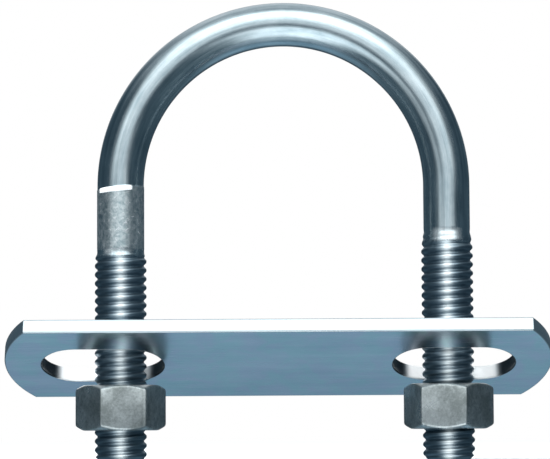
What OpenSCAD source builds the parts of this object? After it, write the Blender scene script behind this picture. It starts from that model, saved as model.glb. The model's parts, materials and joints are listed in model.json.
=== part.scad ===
// U-bolt with a slotted clamp plate and two hex nuts.
//
// The bend's centre is the origin. +Z points up through the top of the bend, the two legs
// hang down along -Z and stand apart along X, and the plate and both nuts are threaded on
// the legs from below. The plate leans on the two nuts: its -Y edge is the raised one.
// All sizes are in millimetres and all angles in degrees.

/* [U-bolt] */
// Distance between the two leg axes
leg_spacing = 59.4; // [50:0.1:120]
// Diameter of the bare rod
rod_d = 8.45; // [8.2:0.05:9.2]
// Length of each leg, from the bend's centre to its free end
leg_len = 50.05; // [40:0.05:120]
// Diameter of the matt collar at the top of the left leg
collar_d = 8.6; // [8.45:0.05:9.2]

/* [Thread] */
// Major diameter, over the crests
thread_d = 9.4; // [9.3:0.01:9.8]
// Minor diameter, in the roots
thread_root_d = 7.8; // [7.6:0.01:8.2]
// Distance from one crest to the next
pitch = 1.5875; // [1.5:0.0005:1.7]
// Depth below the bend's centre at which the left thread starts
left_thread_start = 12.4; // [8:0.1:16]
// Depth below the bend's centre at which the right thread starts
right_thread_start = 10; // [7:0.1:16]

/* [Clamp plate] */
// Length over the two rounded ends
plate_len = 99; // [94:0.1:160]
// Width across the two long edges
plate_w = 26.8; // [24:0.1:34]
// Thickness
plate_t = 2.65; // [2:0.05:3]
// How far each rounded end stands out beyond its corners
end_bulge = 4.4; // [1:0.05:8]
// Distance between the centres of the two slots
slot_spacing = 63.6; // [62:0.1:66]
// Length of each slot over its round ends
slot_len = 22; // [20:0.1:25]
// Width of each slot
slot_w = 12.75; // [12.2:0.05:14]
// Lean of the plate about X
plate_lean = 24.5; // [0:0.5:25]
// How far the plate is pushed along X in its slots
plate_shift = -1.1; // [-1.5:0.1:1.5]

/* [Nuts] */
// Width across the flats
nut_af = 14.3; // [14:0.05:15]
// Height
nut_h = 8.2; // [7:0.05:9]
// Running clearance of a nut's bore round the thread's crests
nut_clearance = 0.05; // [0.02:0.01:0.09]
// Depth of the nuts' top faces below the bend's centre
nut_drop = 36.1; // [30:0.05:38]
// Turn of the left nut's front flat about its leg
left_nut_turn = 7.5; // [0:0.5:60]
// Turn of the right nut's front flat about its leg
right_nut_turn = -11; // [-60:0.5:0]

/* [Hidden] */
$fn = 96;

leg_x = leg_spacing / 2;
rod_r = rod_d / 2;

// Thread form: a crest flat, a 60 degree groove and a root flat in every pitch
crest_r = thread_d / 2;
root_r = thread_root_d / 2;
crest_flat = pitch / 8;
flank = (crest_r - root_r) * tan(30);
leg_chamfer = 1.1;

// Nut: both ends are turned to a 30 degree cone, down to a washer face inside the flats
nut_bore_r = crest_r + nut_clearance;
nut_mouth_r = nut_bore_r + 0.6;
nut_corner_r = nut_af / 2 / cos(30);
washer_face_r = nut_af / 2 * 0.95;
nut_cone_r = nut_corner_r + 0.5;
nut_cone_h = (nut_cone_r - washer_face_r) * tan(30);

// Plate: each end is an arc through two corners and the point end_bulge beyond them
end_r = (pow(plate_w / 2, 2) + pow(end_bulge, 2)) / (2 * end_bulge);
end_centre_x = plate_len / 2 - end_r;
// The lean brings the underside down onto the far rim of the nuts' washer faces
nut_gap = 0.03;
plate_y = -0.87;
rim_drop = (washer_face_r - plate_y) * tan(plate_lean);
plate_z = rim_drop - nut_drop + nut_gap / cos(plate_lean);

// Half of the thread's outline, from its start down to the leg's free end
function thread_outline(start) = [
    for (top = [-start : -pitch : -leg_len + leg_chamfer + pitch]) each [
        [crest_r, top],
        [crest_r, top - crest_flat],
        [root_r, top - crest_flat - flank],
        [root_r, top - pitch + flank]
    ]
];

// One leg: bare rod above, grooved thread below, chamfered free end
module leg(start) {
    grooves = thread_outline(start);
    last = grooves[len(grooves) - 1][1] - flank;
    rotate_extrude()
        polygon(concat(
            [[0, 0], [rod_r, 0], [rod_r, -start + crest_r - rod_r]],
            grooves,
            [
                [crest_r, last],
                [crest_r, -leg_len + leg_chamfer],
                [crest_r - leg_chamfer, -leg_len],
                [0, -leg_len]
            ]
        ));
}

// Collar on the left leg, between the bend and the thread
module collar() {
    collar_r = collar_d / 2;
    ease = 0.15;
    rotate_extrude()
        polygon([
            [0, -ease],
            [collar_r - ease, -ease],
            [collar_r, -2 * ease],
            [collar_r, ease - left_thread_start],
            [0, ease - left_thread_start]
        ]);
}

module u_bolt() {
    color("lightsteelblue") {
        rotate([90, 0, 0])
            rotate_extrude(angle = 180)
                translate([leg_x, 0])
                    circle(r = rod_r);
        translate([-leg_x, 0, 0]) {
            leg(left_thread_start);
            collar();
        }
        translate([leg_x, 0, 0])
            leg(right_thread_start);
    }
}

// Outline of the plate, without its slots
module plate_blank() {
    intersection() {
        square([plate_len, plate_w], center = true);
        union() {
            square([2 * end_centre_x, plate_w], center = true);
            for (side = [-1, 1])
                translate([side * end_centre_x, 0])
                    circle(r = end_r);
        }
    }
}

// A slot centred on the origin, along X
module slot() {
    straight = slot_len - slot_w;
    square([straight, slot_w], center = true);
    for (side = [-1, 1])
        translate([side * straight / 2, 0])
            circle(d = slot_w);
}

// The plate's underside is the plane that leans on the nuts
module clamp_plate() {
    color("cadetblue")
        translate([plate_shift, plate_y, plate_z])
            rotate([-plate_lean, 0, 0])
                linear_extrude(plate_t)
                    difference() {
                        plate_blank();
                        for (side = [-1, 1])
                            translate([side * slot_spacing / 2, 0])
                                slot();
                    }
}

// Both ends of a nut cut back to a cone, as a turned profile
module nut_envelope() {
    rotate_extrude()
        polygon([
            [0, 0],
            [washer_face_r, 0],
            [nut_cone_r, -nut_cone_h],
            [nut_cone_r, nut_cone_h - nut_h],
            [washer_face_r, -nut_h],
            [0, -nut_h]
        ]);
}

// Bore with a countersunk mouth at each end
module nut_bore() {
    over = 1;
    mouth = nut_mouth_r - nut_bore_r;
    rotate_extrude()
        polygon([
            [0, over],
            [nut_mouth_r + over, over],
            [nut_bore_r, -mouth],
            [nut_bore_r, mouth - nut_h],
            [nut_mouth_r + over, -nut_h - over],
            [0, -nut_h - over]
        ]);
}

// A nut that hangs below the origin, with a flat facing -Y when turn is 0
module hex_nut(turn) {
    rotate([0, 0, turn])
        difference() {
            intersection() {
                translate([0, 0, -nut_h])
                    cylinder(r = nut_corner_r, h = nut_h, $fn = 6);
                nut_envelope();
            }
            nut_bore();
        }
}

module left_nut() {
    color("gray")
        translate([-leg_x, 0, -nut_drop])
            hex_nut(left_nut_turn);
}

module right_nut() {
    color("gray")
        translate([leg_x, 0, -nut_drop])
            hex_nut(right_nut_turn);
}

u_bolt();
clamp_plate();
left_nut();
right_nut();
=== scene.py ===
"""Looks of a zinc plated U-bolt with a slotted clamp plate and two hex nuts.

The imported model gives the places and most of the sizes. Each of its four nodes is replaced
by a finer mesh: the rod and the nuts get true helical threads, the plate and the nuts get
eased edges, and each piece gets a procedural plating material.
"""

import json
import math
from typing import NamedTuple

import bmesh
import bpy
import numpy as np
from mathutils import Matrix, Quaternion, Vector


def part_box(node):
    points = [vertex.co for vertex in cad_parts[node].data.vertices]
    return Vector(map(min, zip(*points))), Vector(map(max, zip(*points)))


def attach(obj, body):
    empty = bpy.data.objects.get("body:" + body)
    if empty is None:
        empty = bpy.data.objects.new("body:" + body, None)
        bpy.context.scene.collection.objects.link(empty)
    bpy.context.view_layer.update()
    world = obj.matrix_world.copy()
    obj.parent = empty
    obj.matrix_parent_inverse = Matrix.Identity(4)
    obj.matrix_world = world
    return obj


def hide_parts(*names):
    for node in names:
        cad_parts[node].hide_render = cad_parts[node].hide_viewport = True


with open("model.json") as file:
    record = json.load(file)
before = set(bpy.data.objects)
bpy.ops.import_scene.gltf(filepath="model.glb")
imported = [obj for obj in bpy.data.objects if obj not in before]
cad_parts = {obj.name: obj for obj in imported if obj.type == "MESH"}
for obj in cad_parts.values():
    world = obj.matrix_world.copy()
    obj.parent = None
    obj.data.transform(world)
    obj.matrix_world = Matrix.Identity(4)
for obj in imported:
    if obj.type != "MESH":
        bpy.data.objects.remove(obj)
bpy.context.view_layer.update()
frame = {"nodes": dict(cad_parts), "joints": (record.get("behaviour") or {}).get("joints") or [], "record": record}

MM = 0.001
TURN = 2 * math.pi
SAME_POINT = 0.002 * MM     # points closer than this are joined
SAME_LINE = 0.01 * MM
SAME_PLANE = 0.001 * MM


# ---------------------------------------------------------------- sizes from the frame

def mount(name):
    return next(m for m in frame["record"]["mounts"] if m["name"] == name)


def joint(name):
    return next(j for j in frame["joints"] if j["name"] == name)


def coupling(name):
    couplings = frame["record"]["behaviour"]["couplings"]
    return next(c for c in couplings if c["joint"] == name)


LEFT_X = joint("left_nut_spin")["pos_m"][0]
RIGHT_X = joint("right_nut_spin")["pos_m"][0]
BEND_R = (RIGHT_X - LEFT_X) / 2
PITCH = TURN / coupling("left_nut_spin")["ratio"]
CREST_R = mount("leg_studs")["dims"]["stud_r_mm"] * MM
ROD_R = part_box("u_bolt")[1].z - BEND_R
LEG_END_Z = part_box("u_bolt")[0].z

# Thread: rounded, and full depth only below its run-out
ROOT_R = CREST_R - 0.5 * MM
THREAD_SHARPNESS = 1.5
ROWS_PER_PITCH = 14
LEG_CHAMFER = 1.1 * MM
EDGE_ROUNDING = 0.05 * MM

# Neck between a smooth shank and its thread, with a painted highlight ring on the viewer's side
NECK_IN = 0.8 * MM
NECK_OUT = 0.9 * MM
FLARE = 0.12 * MM
RING_EDGE = 0.7 * MM
RING_FACING = math.radians(-94)

# Bend: the bending stretched the rod thinner in its plane and let it bulge across it
BEND_THIN = 0.94
BEND_WIDE = 1.015

# Frosted collar on the left leg, with a raised ridge round its top on the viewer's side, painted white as a
# highlight
COLLAR_R = ROD_R + 0.07 * MM
COLLAR_TOP = -0.1 * MM
COLLAR_EASE = 0.4 * MM
COLLAR_EDGE = 1.2 * MM      # stretch above the collar with sections as close as on it
FLASH_H = 0.2 * MM
FLASH_LEN = 1.05 * MM
FLASH_SLANT = 0.08
FLASH_FACING = math.radians(-103)
FLASH_SPAN = (0.62, 0.87)
FLASH_STEEPNESS = 2.5


class Leg(NamedTuple):
    """A threaded leg. Its heights are measured up from the bend's centre."""
    x: float
    side: int           # -1 on the left leg, 1 on the right one
    phase: float        # height of a crest where the leg faces +X
    shank_r: float      # radius of the smooth stretch above the neck
    frosted: int        # 1 where that stretch is the frosted collar
    neck_top: float
    neck_depth: float
    thread_top: float   # where the thread begins to grow
    run_out: float      # length over which it grows to full depth
    ring_len: float     # length of the painted highlight ring
    ring_span: float    # cosine of the angle at which the ring has faded out

    @property
    def start(self):
        """Where the leg's neck lies along the rod, from the top of the left leg."""
        return self.neck_top if self.side < 0 else BEND_R * math.pi - self.neck_top


LEFT_LEG = Leg(
    x=LEFT_X, side=-1, phase=0.368 * PITCH, shank_r=COLLAR_R, frosted=1,
    neck_top=-11.2 * MM, neck_depth=0.03 * MM, thread_top=-12.3 * MM, run_out=1.2 * MM,
    ring_len=1.5 * MM, ring_span=0.72)
RIGHT_LEG = Leg(
    x=RIGHT_X, side=1, phase=0.847 * PITCH, shank_r=ROD_R, frosted=0,
    neck_top=-7.8 * MM, neck_depth=0.04 * MM, thread_top=-8.6 * MM, run_out=3.6 * MM,
    ring_len=2.9 * MM, ring_span=0.72)

# Nut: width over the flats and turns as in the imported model
NUT_AF = 14.3 * MM
LEFT_NUT_TURN = 7.5
RIGHT_NUT_TURN = -11.0
NUT_CORNER_ROUND = 0.5 * MM
NUT_CHAMFER = math.radians(30)
WASHER_FACE = 0.95
NUT_EASE = 0.35 * MM
NUT_BORE_R = ROOT_R + 0.07 * MM
NUT_MOUTH_R = 5.35 * MM
THREAD_GAP = 0.05 * MM

# Plate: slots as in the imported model
SLOT_SPACING = 63.6 * MM
SLOT_LEN = 22.0 * MM
SLOT_W = 12.75 * MM
PLATE_EASE = 0.3 * MM
CORNER_STEP = 0.15 * MM
# Span across a slot's width over which its wall turns from painted shade to painted light
SLOT_LIT_SPAN = (0.72, 0.9)
END_POINTS, EDGE_POINTS = 39, 40
SLOT_END_POINTS, SLOT_EDGE_POINTS = 37, 9


# ---------------------------------------------------------------- mesh helpers

def smoothstep(x):
    x = np.clip(x, 0.0, 1.0)
    return x * x * (3 - 2 * x)


def soft_min(a, b, k):
    """The smaller of a and b, rounded over about k where they cross."""
    return (a + b - np.sqrt((a - b) ** 2 + k * k)) / 2


def soft_max(a, b, k):
    return -soft_min(-a, -b, k)


def thread_radii(crest, root):
    """Radii over one pitch of a rounded thread: crest first, root in the middle."""
    share = np.arange(ROWS_PER_PITCH) / ROWS_PER_PITCH
    dip = (0.5 - 0.5 * np.cos(TURN * share)) ** THREAD_SHARPNESS
    return crest - (crest - root) * dip


class Shell:
    """Vertices, faces and per-vertex attributes gathered from several surfaces."""

    def __init__(self, names):
        self.points, self.faces = [], []
        self.values = {name: [] for name in names}
        self.count = 0

    def add(self, points, faces, values):
        self.points.append(points)
        self.faces += [tuple(i + self.count for i in face) for face in faces]
        for name, column in self.values.items():
            column.append(values[name])
        self.count += len(points)

    def build(self, name, vectors=()):
        """Joins the surfaces where they meet and returns a closed, smooth object."""
        mesh = bpy.data.meshes.new(name)
        mesh.from_pydata(np.concatenate(self.points).tolist(), [], self.faces)
        for key, column in self.values.items():
            data = np.concatenate(column).astype(np.float32)
            kind, field = ("FLOAT_VECTOR", "vector") if key in vectors else ("FLOAT", "value")
            mesh.attributes.new(key, kind, "POINT").data.foreach_set(field, data.ravel())
        bm = bmesh.new()
        bm.from_mesh(mesh)
        bmesh.ops.remove_doubles(bm, verts=bm.verts, dist=SAME_POINT)
        bmesh.ops.recalc_face_normals(bm, faces=bm.faces)
        for face in bm.faces:
            face.smooth = True
        bm.to_mesh(mesh)
        bm.free()
        obj = bpy.data.objects.new(name, mesh)
        bpy.context.scene.collection.objects.link(obj)
        return obj


def grid_faces(rows, columns, lift=0):
    """Quads of a grid closed round its columns. The seam climbs by lift rows a turn."""
    faces = []
    for i in range(rows - 1):
        for j in range(columns):
            up, k = (lift, 0) if j == columns - 1 else (0, j + 1)
            if i + 1 + up >= rows:
                continue
            here, there = i * columns + j, (i + up) * columns + k
            faces.append((here, there, there + columns, here + columns))
    return faces


def screw_surface(centre_x, z_low, z_high, phase, radii, trim, angles):
    """A right-handed screw surface about a vertical axis, its rows along the thread.

    The rows that would pass z_low or z_high are flattened onto it, so that joining equal
    points leaves one flat ring at each end. trim(z, radius) shapes the ends.
    Returns the points, the faces, the angles, the heights and the radii.
    """
    per_pitch = len(radii)
    first = math.floor((z_low - PITCH - phase) / PITCH)
    last = math.ceil((z_high + PITCH - phase) / PITCH)
    row = np.arange(first * per_pitch, last * per_pitch + 1)
    rise = phase + row[:, None] * PITCH / per_pitch + PITCH * angles[None, :] / TURN
    z = np.clip(rise, z_low, z_high)
    r = trim(z, np.asarray(radii)[row % per_pitch][:, None] + 0 * z)
    angle = angles[None, :] + 0 * z
    points = np.stack([centre_x + r * np.cos(angle), r * np.sin(angle), z], -1)
    faces = grid_faces(len(row), len(angles), per_pitch)
    return points.reshape(-1, 3), faces, angle.ravel(), z.ravel(), r.ravel()


# ---------------------------------------------------------------- the U-bolt

ROD_COLUMNS = 96
ROD_ANGLES = np.arange(ROD_COLUMNS) * TURN / ROD_COLUMNS


def flash(z, angle):
    """Share of the raised ridge at the top of the collar, at a height and an angle; it also masks the ridge's
    painted highlight.
    """
    down = COLLAR_TOP + FLASH_SLANT * ROD_R * np.cos(angle) - z
    middle = 1 - np.abs(down - FLASH_LEN / 2) / (FLASH_LEN / 2)
    low, high = FLASH_SPAN
    facing = (np.cos(angle - FLASH_FACING) - low) / (high - low)
    return smoothstep(middle * FLASH_STEEPNESS) * smoothstep(facing)


def threaded_leg(shell, leg):
    """The outside of a leg, from its neck down to its sawn end."""
    end_r = CREST_R - LEG_CHAMFER

    def grown(z):
        """Share of the thread's full depth."""
        return smoothstep((leg.thread_top - z) / leg.run_out)

    def trim(z, r):
        """Adds the neck above the thread and the chamfer at the leg's end."""
        down = leg.neck_top - z
        widening = smoothstep((down - NECK_IN) / NECK_OUT)
        waist = smoothstep(down / NECK_IN) - widening
        base = leg.shank_r - leg.neck_depth * waist + FLARE * widening
        r = base + grown(z) * (r - base)
        chamfer = soft_min(r, end_r + (z - LEG_END_Z), EDGE_ROUNDING)
        return np.where(z > LEG_END_Z, chamfer, end_r)

    points, faces, angle, z, r = screw_surface(
        leg.x, LEG_END_Z, leg.neck_top, leg.phase, thread_radii(CREST_R, ROOT_R), trim,
        ROD_ANGLES)
    down = leg.neck_top - z
    along = leg.start + leg.side * down
    flat = [-leg.side * ROD_R * np.cos(angle), ROD_R * np.sin(angle), along]
    # The ring is a painted highlight, kept to the viewer's side
    ring = smoothstep(down / RING_EDGE) * smoothstep((leg.ring_len - down) / RING_EDGE)
    facing = (np.cos(angle - RING_FACING) - leg.ring_span) / (1 - leg.ring_span)
    shell.add(points, faces, {
        "rod_co": np.stack(flat, -1) / MM,
        "groove": np.clip((CREST_R - r) / (CREST_R - ROOT_R), 0, 1) * grown(z),
        "thread": grown(z),
        "frost": leg.frosted * (1 - smoothstep(down / NECK_IN)),
        "flash": 0 * z,
        "ring": ring * smoothstep(facing)})
    sawn_end(shell, leg, end_r)


def sawn_end(shell, leg, end_r):
    """The flat end of a leg, as rings on one plane."""
    centre_r = 0.02 * MM
    radii = [end_r, end_r * 0.6, centre_r]
    points = np.array([[leg.x + q * math.cos(a), q * math.sin(a), LEG_END_Z]
                       for q in radii for a in ROD_ANGLES])
    faces = grid_faces(len(radii), ROD_COLUMNS)
    faces.append(tuple(range((len(radii) - 1) * ROD_COLUMNS, len(radii) * ROD_COLUMNS)))
    values = {name: np.zeros(len(points)) for name in shell.values}
    values["rod_co"] = (points + [-leg.x, 0, leg.start]) / MM
    shell.add(points, faces, values)


def rod_stations():
    """Sections of the smooth rod: centre, angle of its outward side, distance along it."""
    collar_rows, edge_rows, bend_rows, shank_rows = 90, 13, 181, 40
    collar = np.linspace(LEFT_LEG.neck_top, 0, collar_rows)[:-1]
    edge = np.linspace(0, COLLAR_EDGE, edge_rows)[1:] / BEND_R
    rest_of_bend = np.linspace(math.pi - edge[-1], 0, bend_rows)[1:]
    shank = np.linspace(0, RIGHT_LEG.neck_top, shank_rows)[1:]
    stations = [((LEFT_X, 0, z), math.pi, z) for z in collar]
    for a in np.concatenate([[math.pi], math.pi - edge, rest_of_bend]):
        centre = (BEND_R * math.cos(a), 0, BEND_R * math.sin(a))
        stations.append((centre, a, BEND_R * (math.pi - a)))
    return stations + [((RIGHT_X, 0, z), 0.0, BEND_R * math.pi - z) for z in shank]


def bare_rod(shell):
    """The smooth rod between the two necks: up the left leg, round the bend and down."""
    stations = rod_stations()
    cos, sin = np.cos(ROD_ANGLES), np.sin(ROD_ANGLES)
    points, flat, frost, lip = [], [], [], []
    for centre, bend_angle, along in stations:
        outward = np.array([math.cos(bend_angle), 0, math.sin(bend_angle)])
        bent = math.sin(bend_angle) ** 2
        slant = FLASH_SLANT * ROD_R * cos
        on_collar = smoothstep((COLLAR_TOP + slant - along) / COLLAR_EASE)
        on_flash = flash(along, ROD_ANGLES)
        if along <= LEFT_LEG.neck_top:
            on_flash = np.zeros(ROD_COLUMNS)
        r = ROD_R + (COLLAR_R - ROD_R) * on_collar + FLASH_H * on_flash
        in_plane = r * (1 + (BEND_THIN - 1) * bent)
        across = r * (1 + (BEND_WIDE - 1) * bent)
        ring = np.array(centre) - (cos * in_plane)[:, None] * outward
        ring[:, 1] += sin * across
        points.append(ring)
        flat.append(np.stack([r * cos, r * sin, np.full(ROD_COLUMNS, along)], -1) / MM)
        frost.append(on_collar)
        lip.append(on_flash)
    values = {name: np.zeros(len(stations) * ROD_COLUMNS) for name in shell.values}
    values.update(rod_co=np.concatenate(flat), frost=np.concatenate(frost),
                  flash=np.concatenate(lip))
    shell.add(np.concatenate(points), grid_faces(len(stations), ROD_COLUMNS), values)


def make_u_bolt():
    shell = Shell(["rod_co", "groove", "thread", "frost", "flash", "ring"])
    bare_rod(shell)
    threaded_leg(shell, LEFT_LEG)
    threaded_leg(shell, RIGHT_LEG)
    return shell.build("u_bolt_rod", vectors=["rod_co"])


# ---------------------------------------------------------------- the nuts

HALF_SIDE = math.radians(30)


def nut_angles(turn):
    """Angles round a nut: close together at its rounded corners, wider on its flats."""
    half = [0.0, 0.4, 0.8, 1.2, 1.8, 3, 5, 8, 11, 14, 17, 20, 23, 26.5]
    steps = half + [30.0] + [60 - d for d in reversed(half[1:])]
    return np.radians([turn + 60 * k + d for k in range(6) for d in steps])


def hex_radius(angles, turn):
    """Radius of a hexagon with rounded corners, the first corner at the angle turn."""
    off = (np.degrees(angles) - turn + 30) % 60 - 30
    off = np.radians(np.abs(off))
    flat = NUT_AF / 2 / np.cos(HALF_SIDE - off)
    centre = (NUT_AF / 2 - NUT_CORNER_ROUND) / math.cos(HALF_SIDE)
    inside = np.maximum(NUT_CORNER_ROUND ** 2 - (centre * np.sin(off)) ** 2, 0)
    return np.where(inside > 0, np.minimum(flat, centre * np.cos(off) + np.sqrt(inside)), flat)


def eased(profile, ease):
    """A profile of (r, z) arrays with each inner corner replaced by three points."""
    most = 0.4          # share of a short side that one corner may take
    out = [profile[0]]
    for before, here, after in zip(profile, profile[1:], profile[2:]):
        legs = []
        for other in (before, after):
            d = [o - h for o, h in zip(other, here)]
            length = np.sqrt(d[0] ** 2 + d[1] ** 2)
            step = np.minimum(ease, most * length) / length
            legs.append([h + q * step for h, q in zip(here, d)])
        middle = [(p + q) / 4 + h / 2 for p, q, h in zip(legs[0], legs[1], here)]
        out += [legs[0], middle, legs[1]]
    return out + [profile[-1]]


def make_nut(name, node, leg, turn):
    """A nut on its leg. Its bore has the leg's own thread, opened by a small gap."""
    low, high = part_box(node)
    height = high.z - low.z
    angles = nut_angles(turn)
    hexagon = hex_radius(angles, turn)
    one = np.ones(len(angles))
    face_r = NUT_AF / 2 * WASHER_FACE * one
    mouth_r = NUT_MOUTH_R * one
    drop = (hexagon - face_r) * math.tan(NUT_CHAMFER)
    profile = [
        (mouth_r, 0 * one),
        (face_r, 0 * one),
        (hexagon, -drop),
        (hexagon, drop - height),
        (face_r, -height * one),
        (mouth_r, -height * one),
    ]
    rows = eased(profile, NUT_EASE)
    cos, sin = np.cos(angles), np.sin(angles)
    points = np.concatenate([
        np.stack([leg.x + r * cos, r * sin, high.z + z], -1) for r, z in rows])
    shell = Shell(["bore"])
    shell.add(points, grid_faces(len(rows), len(angles)), {"bore": 0 * points[:, 0]})

    def trim(z, r):
        """Opens the bore to the mouth radius at both faces."""
        into = np.minimum(high.z - z, z - low.z)
        return np.where(into <= 0, NUT_MOUTH_R, soft_max(r, NUT_MOUTH_R - into, NUT_EASE / 4))

    radii = thread_radii(CREST_R + THREAD_GAP, NUT_BORE_R)
    wall, faces, *_ = screw_surface(leg.x, low.z, high.z, leg.phase, radii, trim, angles)
    shell.add(wall, faces, {"bore": 1 + 0 * wall[:, 0]})
    return shell.build(name)


# ---------------------------------------------------------------- the plate

def plate_frame():
    """Origin on the plate's upper face, its three axes, and its length, width, thickness."""
    face = mount("plate_top")
    normal = np.array(face["axis"])
    normal /= np.linalg.norm(normal)
    centre = np.array(face["pos_m"])
    long_axis = np.cross([0, 1, 0], normal)
    long_axis /= np.linalg.norm(long_axis)
    cross_axis = np.cross(normal, long_axis)
    axes = np.stack([long_axis, cross_axis, normal])
    co = np.array([v.co for v in frame["nodes"]["clamp_plate"].data.vertices])
    local = (co - centre) @ axes.T
    size = local.max(0) - local.min(0)
    return centre, axes, size, local


def end_bulge(local, size):
    """How far the arc ends stand out beyond the corners, from the CAD plate's own shape."""
    edge = local[np.abs(local[:, 1]) > size[1] / 2 - SAME_LINE]
    return size[0] / 2 - np.abs(edge[:, 0]).max()


def plate_outline(size, bulge, grow):
    """Points round the plate, moved outwards by grow: two long edges and two arcs."""
    half_w = size[1] / 2
    end_r = (half_w ** 2 + bulge ** 2) / (2 * bulge)
    centre_x = size[0] / 2 - end_r
    reach = math.asin((half_w + grow) / (end_r + grow))
    near = CORNER_STEP / end_r
    arc = np.concatenate([[-reach], np.linspace(near - reach, reach - near, END_POINTS), [reach]])
    right = np.stack([centre_x + (end_r + grow) * np.cos(arc), (end_r + grow) * np.sin(arc)], -1)
    edge_end = right[-1][0] - CORNER_STEP
    edge_x = np.linspace(edge_end, -edge_end, EDGE_POINTS)
    top = np.stack([edge_x, np.full(len(edge_x), half_w + grow)], -1)
    return np.concatenate([right, top, -right, -top])


def slot_outline(centre_x, grow):
    """Points round a slot, moved outwards by grow."""
    r = SLOT_W / 2 + grow
    straight = (SLOT_LEN - SLOT_W) / 2
    arc = np.linspace(-math.pi / 2, math.pi / 2, SLOT_END_POINTS)
    right = np.stack([straight + r * np.cos(arc), r * np.sin(arc)], -1)
    left = -right
    edge_x = np.linspace(straight, -straight, SLOT_EDGE_POINTS)[1:-1]
    top = np.stack([edge_x, np.full(len(edge_x), r)], -1)
    loop = np.concatenate([right, top, left, -top])
    return loop + [centre_x, 0]


def wall_rings(outline, thickness, inwards):
    """Rings of a wall from the upper face down to the lower one, with both edges eased."""
    steps = np.radians([0, 22.5, 45, 67.5, 90])
    upper = [(-inwards * PLATE_EASE * (1 - math.sin(a)), -PLATE_EASE * (1 - math.cos(a)))
             for a in steps]
    lower = [(grow, -thickness - z) for grow, z in reversed(upper)]
    rings = []
    for grow, z in upper + lower:
        loop = outline(grow)
        rings.append(np.column_stack([loop, np.full(len(loop), z)]))
    return rings


def paint_wall(layers, ring, is_slot, middle_y):
    """Marks a ring's points as sheared, and gives a slot's long sides painted light and its round ends painted
    shade.
    """
    dim, bright = SLOT_LIT_SPAN
    for vert in ring:
        vert[layers["sheared"]] = 1.0
        if is_slot:
            # A slot's long sides get painted light and its round ends painted shade
            off_axis = abs(vert.co.y - middle_y) / (SLOT_W / 2)
            share = float(smoothstep((off_axis - dim) / (bright - dim)))
            vert[layers["lit_wall"]] = share
            vert[layers["shaded_wall"]] = 1.0 - share


def add_wall(bm, layers, outline, thickness, is_slot, middle_y):
    """One wall of the plate: its outside, or the inside of a slot."""
    rings = [[bm.verts.new(Vector(p)) for p in ring]
             for ring in wall_rings(outline, thickness, -1 if is_slot else 1)]
    for ring in rings[1:-1]:
        paint_wall(layers, ring, is_slot, middle_y)
    for upper, lower in zip(rings, rings[1:]):
        for j in range(len(upper)):
            k = (j + 1) % len(upper)
            face = bm.faces.new((upper[j], upper[k], lower[k], lower[j]))
            face.smooth = True


def fill_face(bm, z):
    """Fills the plate's flat face at the height z, between the open edges of its walls."""
    rim = [e for e in bm.edges
           if all(abs(v.co.z - z) < SAME_PLANE for v in e.verts) and len(e.link_faces) == 1]
    bmesh.ops.triangle_fill(bm, use_beauty=True, use_dissolve=False, edges=rim)


def make_plate():
    """The plate is built flat, with its upper face at z = 0, and then laid on the nuts."""
    centre, axes, size, local = plate_frame()
    bulge = end_bulge(local, size)
    middle = (local.max(0) + local.min(0)) / 2
    bm = bmesh.new()
    layers = {name: bm.verts.layers.float.new(name) for name in ("sheared", "lit_wall", "shaded_wall")}
    add_wall(bm, layers, lambda grow: plate_outline(size, bulge, grow) + middle[:2],
             size[2], False, middle[1])
    for side in (-1, 1):
        slot_x = side * SLOT_SPACING / 2
        add_wall(bm, layers, lambda grow: slot_outline(slot_x, grow) + middle[:2],
                 size[2], True, middle[1])
    for z in (0.0, -size[2]):
        fill_face(bm, z)
    bmesh.ops.recalc_face_normals(bm, faces=bm.faces)
    mesh = bpy.data.meshes.new("clamp_plate_bar")
    bm.to_mesh(mesh)
    bm.free()
    flat = np.array([v.co for v in mesh.vertices])
    attribute = mesh.attributes.new("plate_co", "FLOAT_VECTOR", "POINT")
    attribute.data.foreach_set("vector", (flat / MM).astype(np.float32).ravel())
    mesh.vertices.foreach_set("co", (centre + flat @ axes).astype(np.float32).ravel())
    mesh.update()
    obj = bpy.data.objects.new("clamp_plate_bar", mesh)
    bpy.context.scene.collection.objects.link(obj)
    return obj


# ---------------------------------------------------------------- materials

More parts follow.
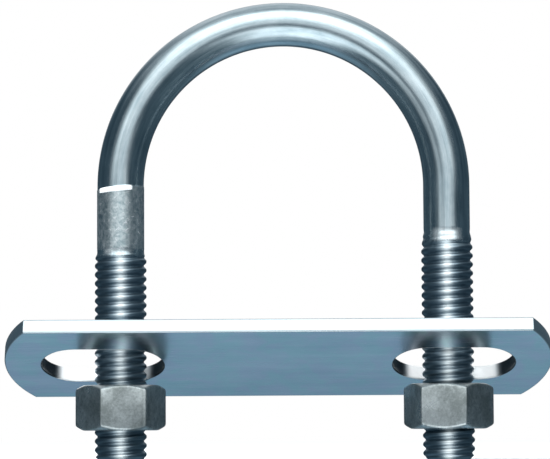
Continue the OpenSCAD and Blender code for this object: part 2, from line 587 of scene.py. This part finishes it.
class Graph:
    """A small wrapper that adds shader nodes and links them in one call."""

    def __init__(self, tree):
        self.tree = tree
        tree.nodes.clear()

    def add(self, kind, inputs=None, **settings):
        node = self.tree.nodes.new(kind)
        for key, value in settings.items():
            setattr(node, key, value)
        for key, value in (inputs or {}).items():
            self.connect(value, node.inputs[key])
        return node

    def connect(self, value, socket):
        if isinstance(value, bpy.types.NodeSocket):
            self.tree.links.new(value, socket)
        else:
            socket.default_value = value

    def math(self, operation, a, b=0.0):
        return self.add("ShaderNodeMath", {0: a, 1: b}, operation=operation).outputs[0]

    def vector(self, operation, a, b=(0.0, 0.0, 0.0)):
        return self.add("ShaderNodeVectorMath", {0: a, 1: b}, operation=operation).outputs

    def blend(self, factor, a, b):
        """A number between a and b."""
        return self.add("ShaderNodeMix", {0: factor, 2: a, 3: b}).outputs[0]

    def remap(self, value, from_min, from_max, to_min=0.0, to_max=1.0, smooth=False):
        node = self.add("ShaderNodeMapRange", {
            "Value": value, "From Min": from_min, "From Max": from_max,
            "To Min": to_min, "To Max": to_max})
        node.interpolation_type = "SMOOTHSTEP" if smooth else "LINEAR"
        return node.outputs[0]

    def mix(self, factor, a, b):
        """A colour between a and b."""
        node = self.add("ShaderNodeMix", data_type="RGBA")
        self.connect(factor, node.inputs["Factor"])
        self.connect(a, node.inputs[6])
        self.connect(b, node.inputs[7])
        return node.outputs[2]

    def noise(self, vector, scale, stretch=(1, 1, 1), detail=3.0, rough=0.5, warp=0.0):
        """Noise whose grain is 1 / scale across, in units of the vector, and is stretched."""
        mapping = self.add("ShaderNodeMapping", {
            "Vector": vector, "Scale": tuple(scale / s for s in stretch)})
        node = self.add("ShaderNodeTexNoise", {
            "Vector": mapping.outputs[0], "Scale": 1.0, "Detail": detail,
            "Roughness": rough, "Distortion": warp})
        return node.outputs[0]

    def attribute(self, name, output="Fac"):
        return self.add("ShaderNodeAttribute", attribute_name=name).outputs[output]


def rgb(r, g, b):
    return (r, g, b, 1.0)


# Colours of the plating, where a pair runs from its duller to its brighter places
WHITE = rgb(1.0, 1.0, 1.0)
ROD = rgb(0.48, 0.57, 0.61), rgb(0.90, 0.96, 0.98)
# painted shade on the thread's sides and painted highlight along its middle
THREAD_SHADE_AND_HIGHLIGHT = rgb(0.26, 0.34, 0.40), rgb(0.97, 1.0, 1.0)
# painted shade in the thread's grooves
GROOVE_SHADE = rgb(0.20, 0.28, 0.34)
COLLAR = rgb(0.50, 0.60, 0.62), rgb(0.97, 1.0, 1.0)
PLATE = rgb(0.66, 0.76, 0.82), rgb(0.86, 0.93, 0.96)
PLATE_DARK_SIDE = rgb(0.30, 0.36, 0.42)
PLATE_STAIN = rgb(0.90, 1.0, 0.98), rgb(1.0, 0.94, 1.0)     # greenish, pinkish
SHEARED_WALL = rgb(0.90, 0.93, 0.94)
# painted shade at the slots' round ends
SLOT_END_SHADE = rgb(0.13, 0.14, 0.15)
NUT = rgb(0.38, 0.40, 0.39), rgb(0.80, 0.82, 0.81)
NUT_BORE = rgb(0.2, 0.22, 0.23)
FLOOR = rgb(0.93, 0.93, 0.93), rgb(0.96, 0.96, 0.96)

# Shares of the light that are scattered and not mirrored
RING_HAZE = 0.25
BAND_HAZE = 0.32
COLLAR_HAZE = 0.09
LIT_WALL_HAZE = 0.8
NUT_HAZE = 0.03

# how narrow the thread's painted highlight band is
BAND_SHARPNESS = 40.0       # of the bright band along a thread's middle
FINE_BUMP = 0.02 * MM
COARSE_BUMP = 0.06 * MM


def new_material(name):
    material = bpy.data.materials.new(name)
    material.use_nodes = True
    return material, Graph(material.node_tree)


def finish_metal(g, colour, roughness, height, bump, metallic):
    normal = g.add("ShaderNodeBump", {"Height": height, "Distance": bump}).outputs[0]
    shader = g.add("ShaderNodeBsdfPrincipled", {
        "Base Color": colour, "Metallic": metallic, "Roughness": roughness,
        "Normal": normal})
    g.add("ShaderNodeOutputMaterial", {"Surface": shader.outputs[0]})


def facing_viewer(g):
    """How far the leg under a point is turned towards the viewer: 1 along its middle."""
    geometry = g.add("ShaderNodeNewGeometry")
    place = g.add("ShaderNodeSeparateXYZ", {0: geometry.outputs["Position"]})
    axis_x = g.math("MULTIPLY", g.math("SIGN", place.outputs["X"]), BEND_R)
    outwards = g.add("ShaderNodeCombineXYZ", {
        "X": g.math("SUBTRACT", place.outputs["X"], axis_x), "Y": place.outputs["Y"]})
    level = g.vector("MULTIPLY", geometry.outputs["Incoming"], (1.0, 1.0, 0.0))[0]
    units = [g.vector("NORMALIZE", v)[0] for v in (outwards.outputs[0], level)]
    return g.math("MAXIMUM", g.vector("DOT_PRODUCT", *units)["Value"], 0.0)


def rod_material():
    """Bright zinc on drawn rod: streaks along it, painted shade and highlight on the thread, a frosted collar."""
    material, g = new_material("rod_zinc")
    co = g.attribute("rod_co", "Vector")
    groove, thread, frost = g.attribute("groove"), g.attribute("thread"), g.attribute("frost")
    # The ridge at the collar's top carries a painted highlight
    flash = g.remap(g.attribute("flash"), 0.1, 0.5)
    # The rings at the necks are painted highlights
    ring_highlight = g.math("MULTIPLY", g.attribute("ring"), RING_HAZE)
    streak = g.noise(co, 1.2, stretch=(1, 1, 24), detail=6, rough=0.6)
    grain = g.noise(co, 9.0, stretch=(1, 1, 14), detail=3)
    cloud = g.noise(co, 0.35, stretch=(1, 1, 2), detail=4, rough=0.6)
    pits = g.noise(co, 1.3, detail=6, rough=0.75, warp=0.4)
    pitted = g.remap(pits, 0.36, 0.62)

    # Bare zinc, streaked and clouded
    tone = g.math("ADD", g.math("MULTIPLY", streak, 0.6), g.math("MULTIPLY", cloud, 0.4))
    colour = g.mix(g.remap(tone, 0.36, 0.64), *ROD)
    # Painted shade and highlight on the thread: dark to the sides and bright along the middle of the leg, where it
    # turns to the viewer
    painted_band = g.math("POWER", facing_viewer(g), BAND_SHARPNESS)
    colour = g.mix(thread, colour, g.mix(painted_band, *THREAD_SHADE_AND_HIGHLIGHT))
    # Painted shade deepens into the thread's grooves
    colour = g.mix(g.math("MULTIPLY", groove, 0.12), colour, GROOVE_SHADE)
    # The collar is frosted; its ridge and the rings at the necks are painted white as highlights
    colour = g.mix(frost, colour, g.mix(pitted, *COLLAR))
    colour = g.mix(g.math("MAXIMUM", flash, ring_highlight), colour, WHITE)

    # What scatters light instead of mirroring it
    chalk = g.math("MULTIPLY", g.math("MULTIPLY", frost, pitted), COLLAR_HAZE)
    # the thread's painted highlight band is partly matt
    band_haze = g.math("MULTIPLY", g.math("MULTIPLY", thread, painted_band), BAND_HAZE)
    for haze in (ring_highlight, band_haze, flash):
        chalk = g.math("MAXIMUM", chalk, haze)
    metallic = g.math("SUBTRACT", 1.0, chalk)

    rough = g.blend(thread, g.remap(streak, 0.35, 0.7, 0.16, 0.28), 0.34)
    rough = g.blend(frost, rough, g.remap(pits, 0.35, 0.65, 0.36, 0.26))
    height = g.math("ADD", g.math("MULTIPLY", grain, 0.2), g.math("MULTIPLY", streak, 0.9))
    height = g.math("ADD", height, g.math("MULTIPLY", g.math("MULTIPLY", pits, frost), 2.0))
    height = g.math("MULTIPLY", height, g.remap(thread, 0.0, 1.0, 1.0, 0.1))
    finish_metal(g, colour, rough, height, FINE_BUMP, metallic)
    return material


def plate_material():
    """Bluish zinc over rolled flat bar: fine grain along its length, faint colour clouds."""
    material, g = new_material("plate_zinc")
    co = g.attribute("plate_co", "Vector")
    sheared, shaded_wall, lit_wall = (g.attribute(name) for name in ("sheared", "shaded_wall", "lit_wall"))
    grain = g.noise(co, 7.0, stretch=(40, 1, 1), detail=4, rough=0.6)
    band = g.noise(co, 0.6, stretch=(12, 1, 1), detail=3)
    cloud = g.noise(co, 0.12, stretch=(1.5, 1, 1), detail=4, rough=0.55)
    stain = g.noise(co, 0.19, detail=5, rough=0.6, warp=0.8)

    tone = g.math("ADD", g.math("MULTIPLY", grain, 0.4), g.math("MULTIPLY", band, 0.25))
    tone = g.remap(g.math("ADD", tone, g.math("MULTIPLY", cloud, 0.35)), 0.38, 0.62)
    colour = g.mix(tone, *PLATE)
    # Darker from the raised long edge to the other one
    across = g.remap(g.add("ShaderNodeSeparateXYZ", {0: co}).outputs["Y"], -13.0, 13.0)
    colour = g.mix(across, colour, g.mix(0.25, colour, PLATE_DARK_SIDE))
    hue = g.mix(g.remap(stain, 0.40, 0.60), *PLATE_STAIN)
    colour = g.vector("MULTIPLY", colour, hue)[0]
    # Cut metal shows in the walls; a slot's long sides get painted light and its round ends painted shade
    colour = g.mix(g.math("MULTIPLY", sheared, 0.7), colour, SHEARED_WALL)
    colour = g.mix(lit_wall, colour, WHITE)
    colour = g.mix(shaded_wall, colour, SLOT_END_SHADE)

    rough = g.remap(grain, 0.3, 0.7, 0.18, 0.28)
    rough = g.math("ADD", rough, g.math("MULTIPLY", sheared, 0.12))
    height = g.math("ADD", g.math("MULTIPLY", grain, 0.2), cloud)
    # the painted light on the slots' long sides is mostly matt
    metallic = g.math("SUBTRACT", 1.0, g.math("MULTIPLY", lit_wall, LIT_WALL_HAZE))
    finish_metal(g, colour, rough, height, FINE_BUMP, metallic)
    return material


def nut_material():
    """Greyer, duller zinc on a hot-formed nut: soft blotches and fine pitting."""
    material, g = new_material("nut_zinc")
    place = g.add("ShaderNodeTexCoord").outputs["Object"]
    co = g.vector("MULTIPLY", place, (1 / MM, 1 / MM, 1 / MM))[0]
    blotch = g.noise(co, 0.24, stretch=(1, 1, 1.4), detail=6, rough=0.66, warp=0.2)
    speck = g.noise(co, 2.4, detail=4, rough=0.7)
    tone = g.remap(g.math("ADD", g.math("MULTIPLY", blotch, 0.7), g.math("MULTIPLY", speck, 0.3)),
                   0.40, 0.60)
    dull, bright = NUT
    colour = g.mix(tone, bright, dull)
    colour = g.mix(g.math("MULTIPLY", g.attribute("bore"), 0.5), colour, NUT_BORE)
    rough = g.remap(blotch, 0.3, 0.7, 0.24, 0.42)
    height = g.math("ADD", blotch, g.math("MULTIPLY", speck, 0.4))
    finish_metal(g, colour, rough, height, COARSE_BUMP, 1 - NUT_HAZE)
    return material


def floor_material(reach):
    """Pale matt floor that brightens to the backdrop's white away from the object."""
    material, g = new_material("pale_floor")
    position = g.add("ShaderNodeNewGeometry").outputs["Position"]
    distance = g.vector("LENGTH", position)["Value"]
    grain = g.noise(position, 900.0, detail=2)
    matt = g.add("ShaderNodeBsdfDiffuse", {"Color": g.mix(grain, *FLOOR)})
    glow = g.add("ShaderNodeEmission", {"Color": WHITE, "Strength": 1.0})
    far = g.remap(distance, reach * 0.3, reach, smooth=True)
    both = g.add("ShaderNodeMixShader", {0: far, 1: matt.outputs[0], 2: glow.outputs[0]})
    g.add("ShaderNodeOutputMaterial", {"Surface": both.outputs[0]})
    return material


# ---------------------------------------------------------------- studio

def direction(azimuth, elevation):
    """Unit vector towards a light. Azimuth 0 is on the camera's side, 90 is to the right."""
    a, e = math.radians(azimuth), math.radians(elevation)
    return Vector((math.sin(a) * math.cos(e), -math.cos(a) * math.cos(e), math.sin(e)))


def soft_box(g, ray, below, azimuth, elevation, half_w, half_h, soft, colour):
    """Lays one soft-edged box of light over the studio's reflection colours."""
    centre = direction(azimuth, elevation)
    right = direction(azimuth + 90, 0)
    up = right.cross(-centre)
    parts = []
    for axis, half in ((right, half_w), (up, half_h)):
        off = g.math("ABSOLUTE", g.vector("DOT_PRODUCT", ray, axis)["Value"])
        size, edge = math.sin(math.radians(half)), math.sin(math.radians(soft))
        parts.append(g.remap(off, size + edge / 2, size - edge / 2, smooth=True))
    parts.append(g.remap(g.vector("DOT_PRODUCT", ray, centre)["Value"], 0.0, 0.1))
    mask = g.math("MULTIPLY", g.math("MULTIPLY", parts[0], parts[1]), parts[2])
    return g.mix(mask, below, rgb(*colour))


# Soft boxes of the studio, the later ones over the earlier ones:
# azimuth, elevation, half width, half height, softness (all in degrees) and colour
SOFT_BOXES = [
    (180, -53, 28, 16, 30, (0.23, 0.36, 0.46)),     # behind and below: the plate's underside
    (180, 48, 24, 28, 26, (0.56, 0.62, 0.66)),      # behind and above: the bend's outer rim
    (-36, -6, 12, 22, 16, (0.32, 0.37, 0.40)),      # a faint strip left of the legs' middle
    (0, 6, 15, 11, 18, (0.66, 0.75, 0.80)),         # over the camera: the legs' middle
    (0, 46, 34, 28, 22, (1.55, 1.70, 1.75)),        # main box: the bend, the plate's front edge
    (-24, 20, 9, 12, 18, (0.90, 1.00, 1.05)),       # upper left: the bend's left shoulder
    (22, 18, 9, 12, 18, (1.00, 1.10, 1.15)),        # upper right: the bend's right shoulder
    (-9, -50, 19, 28, 18, (1.12, 1.28, 1.36)),      # below the camera: the bend's inner band
]


def studio_world():
    """White to the camera. Metal sees a dark room with soft boxes round the camera."""
    world = bpy.data.worlds.new("studio")
    bpy.context.scene.world = world
    world.use_nodes = True
    g = Graph(world.node_tree)
    ray = g.add("ShaderNodeTexCoord").outputs["Generated"]
    height = g.add("ShaderNodeSeparateXYZ", {0: ray}).outputs["Z"]
    room = g.mix(g.remap(height, -0.9, -0.2), rgb(0.10, 0.15, 0.18), rgb(0.040, 0.068, 0.090))
    room = g.mix(g.remap(height, 0.5, 1.0, smooth=True), room, rgb(0.30, 0.36, 0.40))
    for box in SOFT_BOXES:
        room = soft_box(g, ray, room, *box)
    seen = g.add("ShaderNodeLightPath").outputs["Is Camera Ray"]
    colour = g.mix(seen, room, WHITE)
    background = g.add("ShaderNodeBackground", {"Color": colour, "Strength": 1.0})
    g.add("ShaderNodeOutputWorld", {"Surface": background.outputs[0]})


def add_key_light():
    """A large soft light from the upper left. Reflections don't show it."""
    azimuth, elevation, distance = -25, 60, 0.9
    size, power = 0.7, 11.0
    light = bpy.data.lights.new("key", "AREA")
    light.size = size
    light.energy = power
    obj = bpy.data.objects.new("key", light)
    bpy.context.scene.collection.objects.link(obj)
    obj.location = direction(azimuth, elevation) * distance
    obj.rotation_euler = (-obj.location).to_track_quat("-Z", "Y").to_euler()
    obj.visible_camera = False
    obj.visible_glossy = False


def make_floor():
    radius, reach = 30.0, 0.6
    mesh = bpy.data.meshes.new("floor")
    bm = bmesh.new()
    bmesh.ops.create_circle(bm, cap_ends=True, radius=radius, segments=64)
    bm.to_mesh(mesh)
    bm.free()
    floor = bpy.data.objects.new("floor", mesh)
    bpy.context.scene.collection.objects.link(floor)
    floor.location.z = LEG_END_Z - 0.02 * MM
    mesh.materials.append(floor_material(reach))
    floor.visible_glossy = False


def make_camera():
    """A long lens level with the nuts, looking slightly up."""
    target = Vector((-1.58, 0, -7.95)) * MM
    distance = 449 * MM
    elevation, roll = -4.5, -0.32
    camera = bpy.data.cameras.new("camera")
    camera.sensor_width = 36.0
    camera.lens = 161.3
    camera.clip_start = 0.01
    camera.clip_end = 100.0
    obj = bpy.data.objects.new("camera", camera)
    bpy.context.scene.collection.objects.link(obj)
    obj.location = target + direction(0, elevation) * distance
    aim = (target - obj.location).to_track_quat("-Z", "Y")
    obj.rotation_euler = (aim @ Quaternion((0, 0, 1), math.radians(roll))).to_euler()
    bpy.context.scene.camera = obj


# ---------------------------------------------------------------- assembly

def put(piece, node, material):
    piece.data.materials.append(material)
    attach(piece, node)
    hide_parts(node)


nut_zinc = nut_material()
put(make_u_bolt(), "u_bolt", rod_material())
put(make_plate(), "clamp_plate", plate_material())
put(make_nut("left_hex_nut", "left_nut", LEFT_LEG, LEFT_NUT_TURN),
    "left_nut", nut_zinc)
put(make_nut("right_hex_nut", "right_nut", RIGHT_LEG, RIGHT_NUT_TURN),
    "right_nut", nut_zinc)

studio_world()
make_floor()
add_key_light()
make_camera()
bpy.context.scene.view_settings.view_transform = "Standard"
